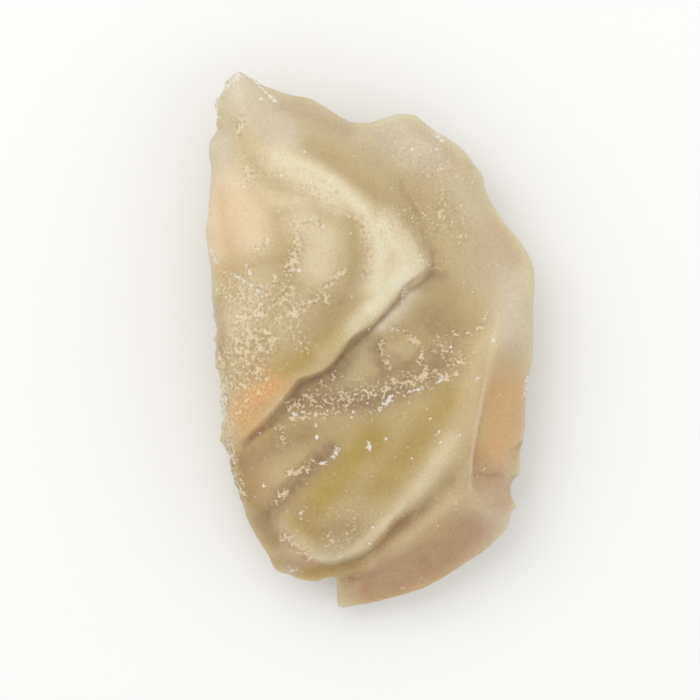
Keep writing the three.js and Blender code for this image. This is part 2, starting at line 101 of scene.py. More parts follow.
def length(name, millimetres, description):
    """A length setting of the panel, given in millimetres."""
    return FloatProperty(name=name, description=description, unit="LENGTH", default=millimetres * MM)


class LumpSizes(PropertyGroup):
    """Sizes of the lump's relief."""

    smoothing: IntProperty(
        name="Smoothing", description="Times that the solid's facets are divided and rounded", default=2
    )
    sharp_angle: FloatProperty(
        name="Sharp angle", description="Edges bent more than this stay crisp", subtype="ANGLE",
        default=math.radians(22),
    )
    crispness: FloatProperty(
        name="Crispness", description="How hard the kept edges are", subtype="FACTOR", default=0.8
    )
    swell_width: length("Swell width", 5, "Across one of the low swells that wind and sand leave")
    swell_height: length("Swell height", 0.5, "Height of the low swells")
    dimple_width: length("Dimple width", 1.5, "Across one shallow dimple")
    dimple_height: length("Dimple height", 0.12, "Depth of the dimples")
    crust_width: length("Crust width", 0.7, "Across one lump of crusted sand")
    crust_height: length("Crust height", 0.35, "Height of the crusted sand")
    flake_width: length("Flake width", 2.2, "Across one small scar of the crushed edge")
    flake_height: length("Flake height", 1.1, "Depth of the scars of the crushed edge")
    bruise_width: length("Bruise width", 0.9, "Across one small bruise on a lip")
    bruise_height: length("Bruise height", 0.45, "Depth of the bruises on the lips")


class GlassColours(PropertyGroup):
    """Colours of the glass and of what clings to it, some of them partly painted shade and light."""

    glass: colour("Glass", "#DAC693", "Cloudy olive glass of middling thickness")
    thick: colour("Thick glass", "#CAB178", "Where the glass is thick")
    thin: colour("Thin glass", "#D8C9A6", "Greyish edge where the glass is thin")
    bloom: colour("Bloom", "#E9E0CE", "Greyish white frosting of the outer slopes")
    # Partly the pale frosting of crests and faces, partly painted light
    cream: colour("Cream", "#FFF3D0", "Frosted crests")
    # Partly the olive brown of thicker glass in the valleys, partly painted shade
    shade: colour("Valley", "#B39356", "Olive brown of the valleys")
    green: colour("Yellow green", "#C0A450", "Clearest glass of the lower lobe")
    dirt: colour("Dirt", "#9F805C", "Brown sand packed under the ledge")
    peach: colour("Peach", "#F4BC80", "Iron-stained crust")
    rosy: colour("Rosy", "#B68557", "Brownish tint of the lower right facet")
    sand: colour("Sand", "#FFEDCB", "Sand grains stuck in pits")
    # Partly the crushed white of fresh chips, partly painted glints
    white: colour("Fresh chip", "#FFF7E8", "Crushed white of fresh chips")
    depth: colour("Depth", "#D8CB92", "What is left of white light inside the glass")


class StageSettings(PropertyGroup):
    """The floor, the light and the camera."""

    floor: colour("Floor", "#F4F4F3", "Matt paper under the stone")
    view_width: length("View width", 104.7, "Width of the picture at the stone")
    camera_height: length("Camera height", 550, "Camera above the floor")
    key_power: FloatProperty(
        name="Key light", description="Power of the large light", unit="POWER", default=1.5
    )
    fill_power: FloatProperty(
        name="Fill light", description="Power of the second light", unit="POWER", default=0.5
    )
    sky: FloatProperty(name="Sky light", description="Even light from all round", default=0.86)


# Strokes of colour on the shelf face, as if dabbed on with a brush: a name, the half width in
# millimetres, the strength and the places that the stroke runs through.
STROKES = {
    "bloom": [
        ("plate by the pointed end", 3.8, 0.8, [(-39.4, 45.1), (-33.9, 41.9), (-27.3, 38)]),
        ("pale patch of the plate", 1.7, 0.55, [(-29.7, 43.8), (-27, 41)]),
        ("left side of the plate", 2.6, 0.6, [(-44.8, 38), (-43.9, 31)]),
        ("top right shoulder", 3, 0.75, [(7, 38.2), (16.4, 35.3)]),
        ("top of the right facet", 3, 0.65, [(43.9, 10.1), (43.3, 1.9)]),
        ("lower right edge", 2.6, 0.5, [(37.6, -29.2), (40.9, -35.1), (30.3, -38.4)]),
        ("chip of the bench", 0.75, 1, [(-25.2, -42.3), (-21.2, -42.1)]),
        ("left edge", 0.8, 0.6, [(-47.9, 10.8), (-47, 1.9), (-45.8, -5.8), (-44.8, -9.5)]),
        ("top edge", 1.6, 0.2, [(-30.9, 44.1), (-21.2, 42.3), (-12.1, 39.3), (-4.5, 38.2)]),
        ("right of the shoulder", 2.4, 0.3, [(21.8, 32.3), (31.5, 24.5)]),
    ],
    # Pale frosting of crests and faces, partly painted light that lifts faces the relief leaves in shade
    "cream": [
        ("crest of the tongue", 1.5, 0.95, [
            (-24.8, 32.9), (-16.4, 30.8), (-9.4, 27.9), (-2.7, 23.8), (3.3, 19.3), (8.8, 15.6),
        ]),
        ("tip of the tongue", 2.6, 1, [(3, 20.8), (8.5, 16.7), (11.5, 13.8), (7.9, 10.8)]),
        ("face above the ledge", 1.7, 0.85, [(9.1, 11.2), (4.2, 8.2), (0, 5.6)]),
        ("face above the ledge, lower part", 1.5, 0.15, [(-9.1, 0.1), (-14.5, -2.1)]),
        ("plateau", 2.7, 0.9, [(-27.3, 32.9), (-18.2, 29.3), (-10.3, 25.6)]),
        ("inside of the tongue", 2.4, 0.95, [(1.8, 20.1), (3.6, 15.3), (1.2, 10.1)]),
        ("bowl", 3.4, 0.7, [(-20, 21.4), (-14.5, 18.6), (-15.8, 13.4)]),
        ("foot of the bowl", 3, 0.3, [(-21.2, 7.5), (-25.5, 1.9)]),
        ("long flute", 1.5, 0.1, [
            (39.1, 7.5), (36.1, 1.9), (32.7, -3.2), (29.7, -8.2), (27.3, -12.9), (24.2, -17.5), (20, -22.3),
            (14.5, -26.6), (7.3, -31.6),
        ]),
        ("left bulge", 3.6, 1, [(-41.2, 27.9), (-39.1, 24.5), (-36.4, 19)]),
        ("shelf above the crust", 3.2, 0.4, [(-33, 11), (-37.9, 4)]),
        ("second flute", 0.8, 0.15, [(25.8, -29.5), (18.5, -32.7), (10.9, -35.8), (3.6, -38.8)]),
        # Partly painted light, lifting a hollow out of the shade of its relief
        ("upper hollow", 1.8, 0.55, [(-36.4, 28.2), (-27.3, 25.1), (-19.4, 25.3)]),
        ("lower edge of the lobe", 0.6, 0.45, [
            (-15.8, -40.3), (-10.3, -40.3), (-4.2, -38.2), (0.6, -35.6), (6.1, -32.3),
        ]),
        # Painted light that lifts the band at the foot of the ledge out of its shade
        ("between the ledge and the knob", 1.5, 0.9, [(12.1, 8.6), (7.9, 5.5), (3.3, 2.7)]),
        ("pale part of the channel", 1.3, 0.2, [(-1.2, -2.1), (-5.5, -6.2)]),
        # Painted light along the left edge, where the light falls off
        ("left bulge, edge", 2.2, 0.75, [(-46.7, 26.4), (-47, 22.3), (-45.8, 16.7)]),
        ("face above the ledge, middle", 1.5, 0.5, [(0, 5.6), (-4.8, 2.7)]),
        ("long flute, lower end", 1.5, 0.5, [(24.2, -18), (20, -22.3), (14.5, -26.7), (8.5, -31)]),
        ("left edge of the right facet", 0.3, 0.55, [
            (34.8, -6.9), (33.3, -11), (31.5, -16.6), (30.3, -22.1), (30, -27.3),
        ]),
        ("left edge of the right facet, upper part", 0.7, 0.3, [(38.2, 4.2), (36.7, -0.8), (34.8, -6.9)]),
    ],
    # Valleys and the places under edges and between flutes: partly the olive brown of thicker glass, partly
    # painted shade
    "shade": [
        ("valley outside the tongue", 1.5, 0.35, [
            (-18.8, 34.9), (-11.5, 32.3), (-5.5, 29.7), (0.3, 27.3), (6.4, 24.5), (11.5, 21.6),
        ]),
        ("valley outside the tongue, lower end", 1.8, 0.1, [(13.9, 20.8), (18.2, 17.5), (20.6, 14.5)]),
        ("curled valley", 0.8, 0.15, [(-6.4, 20.8), (-4.8, 17.1), (-3.9, 13.8), (-6.1, 10.5)]),
        ("hollow right of the tip", 2.6, 0.3, [(21.8, 9), (26.1, 6), (27.9, 2.7)]),
        ("left side of the lower shelf", 1, 0.5, [(-45.8, 7.5), (-44.8, -0.8), (-43.6, -5.8)]),
        ("under the lobe's edge", 1.3, 0.7, [(10.3, -32.5), (6.7, -35.6), (2.7, -38.2)]),
        ("between the flutes", 1.4, 0.2, [(23, -25.4), (17.6, -29.5), (12.1, -33.2)]),
        ("left of the lobe", 2.2, 0.8, [(-39.4, -22.9), (-36.4, -29.5), (-29.7, -36.9)]),
        ("lower lobe", 2, 0.45, [(-21.2, -31.7), (-14.5, -35.1), (-6.1, -34.1)]),
        ("bench", 1.6, 0.5, [(-27.3, -40.6), (-18.2, -42.8), (-6.1, -41.7)]),
        ("top edge", 1.2, 0.25, [(-27.3, 43), (-18.2, 40.8), (-7.6, 38.4)]),
    ],
    "green": [
        ("lobe", 2.8, 0.95, [(0.6, -18), (-5.5, -21.7), (-11.5, -26.2), (-17, -29.9)]),
        ("lobe, right side", 2.8, 0.65, [(23, -11), (17.6, -15.6), (10.6, -21.2), (3, -26.7)]),
        ("lobe, lower end", 1.6, 0.6, [(-21.2, -33.6), (-15.8, -35.8)]),
        ("bench", 1.3, 0.7, [(-19.4, -43.4), (-12.1, -42.8), (-3, -41.7)]),
        ("shelf's lower half", 1.9, 0.65, [(-11.5, 0.1), (-19.4, -3.2), (-25.5, -6)]),
        ("slope under the ledge's end", 1.8, 0.3, [(-35.8, -19.9), (-21.2, -16.6)]),
    ],
    "dirt": [
        # A thin dark brown line along the foot of the ledge
        ("foot of the ledge by the tip", 0.3, 0.6, [
            (17, 12.7), (12.7, 11), (9.7, 9.5), (7.9, 7.1), (5.2, 5.3), (2.4, 3.4), (-1.8, 0.8), (-4.8, -1),
            (-8.5, -2.9),
        ]),
        ("foot of the ledge, left part", 0.55, 0.9, [
            (-8.5, -2.9), (-13.6, -6.2), (-20.6, -8.4), (-22.4, -10.5), (-25.2, -13), (-29.7, -15.5),
            (-34.5, -17.1), (-37.6, -19.3),
        ]),
        ("under the ledge", 1.7, 0.6, [(-7.3, -4), (-12.1, -7.1), (-18.8, -10.1), (-24.2, -13.2)]),
        ("right of the tip", 1, 0.5, [(17.6, 12.3), (21.8, 11.8)]),
        ("channel", 1.7, 1, [
            (-21.2, -10.8), (-15.2, -11.6), (-7.6, -11), (0, -11.4), (4.8, -9.9), (9.7, -8.8),
        ]),
        ("knob", 2, 0.5, [(7.3, -3.2), (9.7, -4)]),
        ("left of the knob", 1.2, 0.6, [(1.8, -2.1), (4.2, -5.8), (0.6, -8.8)]),
        ("right of the knob", 2.4, 0.6, [(18.2, 4.2), (23, 0.5), (21.2, -4), (16.4, -6.9)]),
        ("streak of the lobe", 1.6, 0.9, [
            (-12.1, -19.9), (-17.6, -22.9), (-23, -26.6), (-27.3, -29.5), (-31.5, -32.3),
        ]),
        ("left of the lobe", 2.4, 0.5, [(-35.8, -21.4), (-28.5, -19.5), (-19.4, -17.3)]),
        ("corner of the right facet", 0.9, 0.35, [(30.3, -26.6), (33.3, -27.3)]),
    ],
    "peach": [
        ("left bulge", 4.2, 0.4, [(-43.6, 25.4), (-39.4, 21.6), (-43, 17.5)]),
        ("crust by the ledge", 2.4, 0.9, [(-29.1, -8.6), (-34.2, -10.3), (-38.2, -12.9), (-35.8, -15.5)]),
        ("right facet", 3.2, 0.5, [(40.9, -9.2), (40.3, -14), (37.9, -20.3)]),
        ("lower left", 0.8, 0.4, [(-25.5, -36.6), (-21.2, -38.6), (-18.8, -40.4)]),
    ],
    "rosy": [
        ("lower right facet", 4.8, 0.85, [(0.6, -46.5), (12.1, -43.6), (23, -39.5), (29.7, -36.2)]),
        ("foot of the right facet", 3, 0.6, [(33.9, -21.9), (38.8, -29.5)]),
        ("bench", 1.4, 0.5, [(-30, -41), (-17.9, -42.8)]),
        ("left side of the lobe", 2.6, 0.4, [(-36.1, -21.9), (-32.1, -26.9)]),
        ("top edge", 1.2, 0.15, [(-21.2, 43.8), (-12.1, 40.4), (-5.5, 38.6)]),
        ("right facet", 3.4, 0.4, [(40.6, -10.3), (38.8, -18.4)]),
        ("under the lobe's edge", 1, 0.8, [(11.5, -32.1), (7.3, -35.4), (3, -38.4)]),
        ("top right rim", 1.3, 0.2, [
            (15.2, 39.3), (23, 35.4), (29.1, 30.8), (33.6, 25.8), (38.5, 20.8), (44.2, 14.9),
        ]),
    ],
    "sand": [
        ("lower shelf", 2.6, 0.8, [
            (-41.8, 9.3), (-32.7, 7.5), (-38.2, 2.7), (-30.9, -0.3), (-40.6, -2.1), (-33.9, -5.8),
            (-41.8, -8.1),
        ]),
        ("middle of the shelf", 2.4, 0.6, [(-26.1, 9), (-21.2, 7.5), (-26.1, 3.4), (-21.2, 0.1)]),
        ("streak in the bowl", 1, 1, [(-21.5, 21), (-21.5, 18), (-23.3, 14.5), (-24.5, 12.5)]),
        ("arch of the bowl", 0.7, 0.9, [(-20.6, 21.2), (-16.7, 21.7), (-14.5, 20.6)]),
        ("foot of the bowl", 1.1, 0.9, [
            (-30.3, 6.6), (-26.1, 7.5), (-22.4, 4.9), (-19.4, 6.6), (-16.4, 7.9),
        ]),
        ("left foot of the bowl", 0.9, 0.85, [(-28.2, 11), (-25.5, 9.2)]),
        ("inside of the bowl", 0.7, 0.95, [(-13.3, 7.1), (-13.6, 9.7), (-10.9, 11.2), (-7.6, 12.7)]),
        ("plateau", 0.9, 0.75, [(-19.4, 27.9), (-14.5, 26.2), (-11.2, 26.7)]),
        ("left of the plateau", 0.6, 1, [(-37, 31.2), (-35.5, 29)]),
        ("below the left bulge", 0.65, 1, [(-34.5, 16.4), (-30.9, 17.9)]),
        ("inside of the tongue", 0.8, 0.8, [
            (-3.6, 23.4), (-2.1, 21.2), (-0.6, 17.5), (-0.3, 14.5), (-1.2, 11.2),
        ]),
        ("left of the knob", 0.75, 1, [(2.7, 0.1), (3.3, -1.8), (5.2, -4.9)]),
        ("above the knob", 0.65, 0.95, [(6.7, 1.9), (10, 1.6), (13.3, -0.1)]),
        ("right of the knob", 0.8, 1, [(14.2, -0.5), (15.5, -2.1), (15.2, -4), (17, -6)]),
        ("below the knob", 0.6, 0.9, [(5.5, -7.1), (10.3, -7.1)]),
        ("right end of the lip", 0.8, 0.95, [(18.5, -6), (23, -6.9)]),
        ("channel floor", 2.1, 0.85, [
            (-22.4, -12.3), (-12.1, -10.6), (-6.1, -10.3), (0.6, -9.5), (7.9, -8.1), (15.2, -6.9),
        ]),
        ("streak near the peak", 0.6, 1, [(-38.5, 40.4), (-39.7, 37.5)]),
        ("streak of the lobe", 0.8, 1, [(-17.6, -22.1), (-20.9, -24), (-24.2, -24.3)]),
        ("streak of the lobe, lower end", 1.1, 0.85, [(-25.8, -28), (-27.9, -29.5)]),
        ("lobe's lower edge", 1.7, 0.55, [(-12.7, -36.9), (-7.3, -35.8), (-4.2, -34.3)]),
        ("lower left", 0.85, 1, [(-26.4, -36), (-21.5, -37.8), (-18.8, -40.1)]),
        ("below the crust", 0.9, 0.85, [(-27, -15.8), (-26.1, -18.4)]),
        ("left edge", 1, 0.9, [
            (-45.2, -3.1), (-44.5, -10.6), (-43.3, -17.7), (-40.9, -24.7), (-37.9, -28.4),
        ]),
        ("crust by the ledge", 2.2, 0.5, [(-32.7, -8.1), (-37, -10.6), (-40, -14)]),
        ("slope above the tip", 3, 0.5, [(6.1, 21.2), (15.2, 23.4), (24.8, 21.2)]),
        ("patch of the upper right", 0.9, 0.65, [(21.2, 27.1), (22.7, 25.3)]),
        ("patch right of the tip", 0.8, 0.65, [(26.1, 20.6), (28.2, 19.3)]),
        ("edge of the tip", 0.7, 0.9, [(14.8, 16.4), (16.7, 14.2), (20.3, 13.2)]),
        ("top right shoulder", 2.6, 0.45, [(9.1, 36), (23.9, 30.1)]),
        ("corner of the right facet", 0.35, 0.85, [(35.5, -22.3), (33.6, -24.3), (31.5, -25.8)]),
        ("edge of the flute", 0.5, 0.8, [(34.5, 4.5), (33.6, 2.7), (30.3, 1.2), (24.8, 1.4)]),
        ("right of the channel", 2.2, 0.65, [(21.2, -0.8), (25.8, -3.6), (23, -5.8)]),
        ("lobe's middle", 2.6, 0.2, [(-21.2, -30.4), (-12.1, -32.3), (-5.5, -30.4)]),
        ("lobe's upper edge", 0.7, 0.7, [(-24.2, -14.3), (-12.1, -13.2), (0.6, -12.9)]),
        ("plateau, single grains", 2.4, 0.3, [(-32.7, 32.3), (-28.5, 28.6), (-21.2, 30.1), (-9.1, 25.1)]),
        ("under the ledge", 1.3, 0.6, [(-10.9, -6.9), (-21.2, -10.6), (-25.5, -13.6)]),
    ],
    # Fresh chips: partly their crushed white, partly painted glints
    "white": [
        ("crack", 0.27, 1, [(-40.6, 11.8), (-37, 10.6), (-34.2, 9.3), (-31.7, 7.7)]),
        ("crack, faint end", 0.3, 0.55, [(-44.2, 12.9), (-40.6, 11.8)]),
        ("above the crack", 0.33, 0.9, [(-37.3, 13.6), (-35.8, 12.1)]),
        ("right of the crack", 0.25, 0.85, [(-32.7, 9.9), (-30.6, 9.3)]),
        ("lip by the knob", 0.55, 1, [(4.2, -11.6), (6.1, -10.5)]),
        ("lip, middle", 0.35, 0.9, [(10.9, -9.5), (15.2, -8.8)]),
        ("lip, right end", 0.4, 0.95, [(20.6, -7.5), (22.4, -6.6)]),
        ("lip, left part", 0.35, 0.85, [(-23, -13.4), (-20, -13)]),
        ("ledge near the tip", 0.36, 0.8, [(10.3, 9.9), (9.1, 7.1)]),
        ("streak of the lobe", 0.4, 1, [(-11.2, -21.4), (-9.7, -19.5)]),
        ("streak of the lobe, lower end", 0.35, 1, [(-14.8, -22.5), (-13, -22.1)]),
        ("pit of the lobe", 0.42, 1, [(-0.6, -18.4), (-0.4, -20.1)]),
        ("specks right of the channel", 0.35, 0.85, [(20.6, -16.6), (19.4, -17.3)]),
        ("left edge, by the crust", 0.7, 1, [(-44.5, -10.5), (-44.8, -14.3)]),
        ("left edge, below the crust", 0.4, 0.6, [(-44.5, -16.6), (-42.7, -19.5)]),
        ("left edge, lower part", 0.4, 0.7, [(-41.8, -24), (-40.6, -26.2)]),
        ("left edge, upper part", 0.3, 0.6, [(-49.4, 24.9), (-49.7, 21.2)]),
        ("left edge, above the shelf", 0.42, 0.85, [(-48.2, 16.7), (-46.4, 14.2)]),
        ("peak", 0.9, 0.95, [(-38.5, 49.3), (-41.2, 48.2), (-43.6, 46.5)]),
        ("left of the peak", 0.5, 0.9, [(-45.5, 45.8), (-46.7, 43.4), (-47, 40.8)]),
        ("chip of the top right rim", 0.5, 0.9, [(19.7, 38.2), (21.8, 37.1)]),
        ("chip of the bench", 0.5, 0.6, [(-24.8, -42.8), (-21.5, -42.5)]),
        ("right edge", 0.36, 0.85, [(47.6, -6.9), (47, -10.3)]),
        ("scratch right of the tip", 0.2, 0.8, [(21.5, 14.9), (25.5, 13.6)]),
        ("bevel line of the plate", 0.34, 0.95, [
            (-36.4, 48.6), (-33.9, 47.1), (-31.5, 45.4), (-28.8, 43.8),
        ]),
    ],
}

# Single glints of fresh glass on the shelf face: their places under their half width in millimetres
GLINTS = {
    0.5: [
        (4.5, -11.6), (-11.5, 29.7), (13.9, -9), (21.2, -7.3), (-23.3, -13.4), (2.7, -12.5),
    ],
    0.36: [
        (9.4, 6.9), (10.6, 8.8), (26.1, -3.8), (24.2, -1.2), (32.1, -7.1), (-13.3, -11.2), (-33.3, -17.1),
        (-41.2, -15.6), (26.4, -17.5), (11.8, -19.3), (-20.9, -31.7), (0.9, -34.3), (-16.4, -15.5),
        (-5.5, -13), (-32.7, 44.1), (6.7, 28), (-27.9, 23.6), (20.6, 35.4), (12.4, 35.4), (30.9, 8.8),
        (-26.1, 34.1), (-20, 34.3), (-46.1, 41.2), (-45.2, 46), (-40.6, 48.6), (17.9, -14.3),
    ],
    0.26: [
        (-8.8, -13.4), (-13, -13), (12.4, -12.7), (12.4, -21.6), (-0.3, -19.3), (-10.9, -20.3),
        (-19.4, -26.2), (-0.9, -37.3), (-9.4, -40.1), (-23.6, -36), (26.1, -29.7), (-3.3, 25.4),
        (-14.8, 20.6), (-48.5, 35.1), (14.5, 35.3), (-36.4, 12.1), (27.9, 10.6), (8.5, 23), (-40.6, 8.2),
        (-38.5, 4.5), (-34.5, 1.6), (-42.1, -0.1), (-30.9, -2.1), (-37.3, -4.7), (-32.7, 3.8), (-39.4, 7.5),
    ],
}

# Bands of the edge that are crushed to small scars: the places they run through, and their half width in
# millimetres.
CRUSHED = [
    ([(-46.5, 5), (-46, -6.9), (-45.4, -16.3), (-43, -22.5), (-40.5, -28)], 1.7),
    ([(-47, 38.5), (-46.8, 43), (-44.5, 47.3), (-40, 49.8), (-36, 48.6)], 1.2),
    ([(44, -21), (45, -26), (43.5, -32)], 1.1),
]

# Flakes struck off the edge: a name, a place beside the edge, a height in percent of the thickness, the
# radius and the depth of the scar in millimetres.
CHIPS = [
    ("notch left of the peak", (-52, 38), 58, 2.0, 0.45),
    ("scar under the notch", (-53, 33), 55, 3.2, 0.4),
    ("peak, left side", (-49, 47), 66, 2.4, 0.5),
    ("peak, tip", (-43, 51), 66, 2.0, 0.45),
    ("top right rim", (22, 39), 62, 1.2, 0.25),
    ("right rim, upper tooth", (33, 33.5), 60, 1.2, 0.25),
    ("right rim, dark chip", (49, -21), 56, 2.2, 0.45),
    ("right rim, lower tooth", (48, -27), 52, 2.4, 0.5),
    ("right rim, tooth below", (46, -33), 46, 1.8, 0.4),
    ("lower left corner", (-25, -46), 50, 2.4, 0.5),
    ("left rim, by the crust", (-49, -12), 70, 3.4, 0.6),
    ("left rim, above the crust", (-50, -2), 72, 2.8, 0.45),
    ("left rim, below the crust", (-46.5, -22), 62, 3, 0.5),
]


def place(percent):
    """A place given as percent of the width and length from the middle, in metres."""
    return np.array([MIDDLE.x + percent[0] * SIZE.x / 100, MIDDLE.y + percent[1] * SIZE.y / 100])


def select_only(obj):
    """Object mode, with one object selected and active."""
    if bpy.context.object and bpy.context.object.mode != "OBJECT":
        bpy.ops.object.mode_set(mode="OBJECT")
    bpy.ops.object.select_all(action="DESELECT")
    obj.select_set(True)
    bpy.context.view_layer.objects.active = obj


def vectors_of(obj, what):
    """The vertices' places ("co") or normals ("normal") as an array."""
    flat = np.empty(len(obj.data.vertices) * 3)
    obj.data.vertices.foreach_get(what, flat)
    return flat.reshape(-1, 3)


def tree_of(obj):
    """A tree that finds the surface of a mesh object."""
    corners = [list(polygon.vertices) for polygon in obj.data.polygons]
    return BVHTree.FromPolygons(vectors_of(obj, "co").tolist(), corners)


# The strokes lie on the shelf face only. They fade out between these upward shares of the normal.
STROKES_FROM = -0.25
STROKES_FULL = 0.15
# Weights of a vertex group are kept to this many steps.
WEIGHT_STEPS = 100


def smooth_step(low, high, values):
    """0 below low, 1 above high, and an even slope between."""
    share = np.clip((values - low) / (high - low), 0, 1)
    return share * share * (3 - 2 * share)


def nearness(points, line, half_width):
    """1 on a line through places and fading to 0 past its half width, as seen in plan."""
    corners = [place(p) for p in line]
    best = np.linalg.norm(points[:, :2] - corners[0], axis=1)
    for a, b in zip(corners, corners[1:]):
        way = b - a
        along = np.clip(((points[:, :2] - a) @ way) / (way @ way), 0, 1)
        best = np.minimum(best, np.linalg.norm(points[:, :2] - a - along[:, None] * way, axis=1))
    return np.exp(-((best / (half_width * MM)) ** 2))


def stroke_weights(points, normals, name):
    """How strongly each point is painted by the strokes of one colour, on the shelf face only."""
    total = np.zeros(len(points))
    for _, half_width, strength, line in STROKES[name]:
        total = np.maximum(total, strength * nearness(points, line, half_width))
    if name == "white":
        for half_width, spots in GLINTS.items():
            for spot in spots:
                total = np.maximum(total, nearness(points, [spot], half_width))
    return total * smooth_step(STROKES_FROM, STROKES_FULL, normals[:, 2])


def weight_group(obj, name, weights):
    """A vertex group with a weight for each vertex, to the nearest step."""
    group = obj.vertex_groups.new(name=name)
    steps = np.rint(weights * WEIGHT_STEPS).astype(int)
    for step in range(1, WEIGHT_STEPS + 1):
        found = np.flatnonzero(steps == step)
        if len(found):
            group.add(found.tolist(), step / WEIGHT_STEPS, "REPLACE")


def paint(obj, name, values):
    """A number for each vertex, which the material reads by its name."""
    layer = obj.data.attributes.new(name, "FLOAT", "POINT")
    layer.data.foreach_set("value", np.asarray(values, np.float32))


def displace(obj, name, kind, width, height, group=""):
    """Pushes the surface in and out by a pattern of that width, by half the height each way."""
    texture = bpy.data.textures.new(name, type=kind)
    texture.noise_scale = width
    if kind == "VORONOI":
        texture.distance_metric = "DISTANCE_SQUARED"
    modifier = obj.modifiers.new(name, "DISPLACE")
    modifier.texture = texture
    modifier.texture_coords = "LOCAL"
    modifier.strength = height
    modifier.vertex_group = group
    bpy.ops.object.modifier_apply(modifier=name)


def blurred(values, pairs, rounds):
    """Averages a value over each vertex's neighbours, a number of times."""
    size = len(values)
    count = np.bincount(pairs.ravel(), minlength=size)
    columns = list(values.reshape(size, -1).T)
    for _ in range(rounds):
        for i, column in enumerate(columns):
            ahead = np.bincount(pairs[:, 0], column[pairs[:, 1]], size)
            behind = np.bincount(pairs[:, 1], column[pairs[:, 0]], size)
            columns[i] = (column + (ahead + behind) / count) / 2
    return np.array(columns).T.reshape(values.shape)


def edge_pairs(obj):
    """The two vertices of each edge."""
    flat = np.empty(len(obj.data.edges) * 2, np.int64)
    obj.data.edges.foreach_get("vertices", flat)
    return flat.reshape(-1, 2)


# How the solid's mesh is cleaned: the gap that is closed, and how bent and how skewed two triangles may
# be to become one quad.
WELD_GAP = 0.001 * MM
QUAD_BEND = math.radians(18)
QUAD_SKEW = math.radians(45)
# The relief fades in between these heights, so that the facet that the lump rests on stays flat.
RELIEF_FROM = 0.3 * MM
RELIEF_FULL = 2.5 * MM
# Packed dirt has this share of the crust that sand has.
DIRT_CRUST = 0.8


def round_facets(lump, sizes):
    """Joins the solid's triangles to quads, and rounds them except along the sharp edges."""
    bpy.ops.object.mode_set(mode="EDIT")
    bpy.ops.mesh.select_all(action="SELECT")
    bpy.ops.mesh.remove_doubles(threshold=WELD_GAP)
    bpy.ops.mesh.tris_convert_to_quads(face_threshold=QUAD_BEND, shape_threshold=QUAD_SKEW)
    bpy.ops.mesh.select_all(action="DESELECT")
    bpy.ops.mesh.select_mode(type="EDGE")
    bpy.ops.mesh.edges_select_sharp(sharpness=sizes.sharp_angle)
    bpy.ops.transform.edge_crease(value=sizes.crispness)
    bpy.ops.object.mode_set(mode="OBJECT")
    rounding = lump.modifiers.new("rounding", "SUBSURF")
    rounding.levels = rounding.render_levels = sizes.smoothing
    bpy.ops.object.modifier_apply(modifier="rounding")


def add_relief(lump, sizes):
    """Low swells and dimples, crusted sand, the scars of the crushed edge and the bruises on the lips."""
    points = vectors_of(lump, "co")
    normals = vectors_of(lump, "normal")
    free = smooth_step(RELIEF_FROM, RELIEF_FULL, points[:, 2])
    crusted = stroke_weights(points, normals, "dirt") * DIRT_CRUST + stroke_weights(points, normals, "sand")
    crushed = np.zeros(len(points))
    for line, half_width in CRUSHED:
        crushed = np.maximum(crushed, nearness(points, line, half_width))
    weight_group(lump, "free", free)
    weight_group(lump, "crusted", free * np.clip(crusted, 0, 1))
    weight_group(lump, "crushed", free * crushed)
    weight_group(lump, "bruised", free * stroke_weights(points, normals, "white"))
    displace(lump, "swells", "CLOUDS", sizes.swell_width, sizes.swell_height, "free")
    displace(lump, "dimples", "CLOUDS", sizes.dimple_width, sizes.dimple_height, "free")
    displace(lump, "crust", "CLOUDS", sizes.crust_width, sizes.crust_height, "crusted")
    displace(lump, "flakes", "VORONOI", sizes.flake_width, sizes.flake_height, "crushed")
    displace(lump, "bruises", "VORONOI", sizes.bruise_width, sizes.bruise_height, "bruised")
    lump.vertex_groups.clear()


class GLASS_OT_lump(Operator):
    """Models the lump from the solid: rounds its facets, keeps its ledges crisp and adds the low relief"""

    bl_idname = "desert_glass.lump"
    bl_label = "Model the lump"

    def execute(self, context):
        sizes = context.scene.lump_sizes
        select_only(frame["nodes"][NODE])
        bpy.ops.object.duplicate()
        lump = context.object
        lump.name = lump.data.name = "desert_glass"
        bpy.ops.object.parent_clear(type="CLEAR_KEEP_TRANSFORM")
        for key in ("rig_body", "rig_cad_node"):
            del lump[key]
        round_facets(lump, sizes)
        add_relief(lump, sizes)
        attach(lump, "root")
        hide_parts(NODE)
        return {"FINISHED"}


# A chip is cut by a rough ball: the width and the height of its roughness, as shares of its radius.
BREAK_WIDTH = 0.7
BREAK_HEIGHT = 0.16


class GLASS_OT_chips(Operator):
    """Strikes the flakes off the edge of the lump"""

    bl_idname = "desert_glass.chips"
    bl_label = "Chip the edge"

    def execute(self, context):
        lump = bpy.data.objects["desert_glass"]
        tree = tree_of(lump)
        for name, spot, height, radius, depth in CHIPS:
            aim = Vector((*place(spot), LOW.z + height * SIZE.z / 100))
            near, *_ = tree.find_nearest(aim)
            middle = near + (aim - near).normalized() * (radius - depth) * MM
            bpy.ops.mesh.primitive_ico_sphere_add(subdivisions=4, radius=radius * MM, location=middle)
            cutter = context.object
            bpy.ops.object.transform_apply(location=True, rotation=False, scale=False)
            displace(cutter, "broken", "CLOUDS", radius * MM * BREAK_WIDTH, radius * MM * BREAK_HEIGHT)
            select_only(lump)
            cut = lump.modifiers.new(name, "BOOLEAN")
            cut.operation = "DIFFERENCE"
            cut.solver = "MANIFOLD"
            cut.object = cutter
            bpy.ops.object.modifier_apply(modifier=name)
            bpy.data.objects.remove(cutter)

        # Nothing stands out past the solid's box.
        inside = np.clip(vectors_of(lump, "co"), np.array(LOW), np.array(HIGH))
        lump.data.vertices.foreach_set("co", inside.ravel())
        lump.data.update()
        return {"FINISHED"}


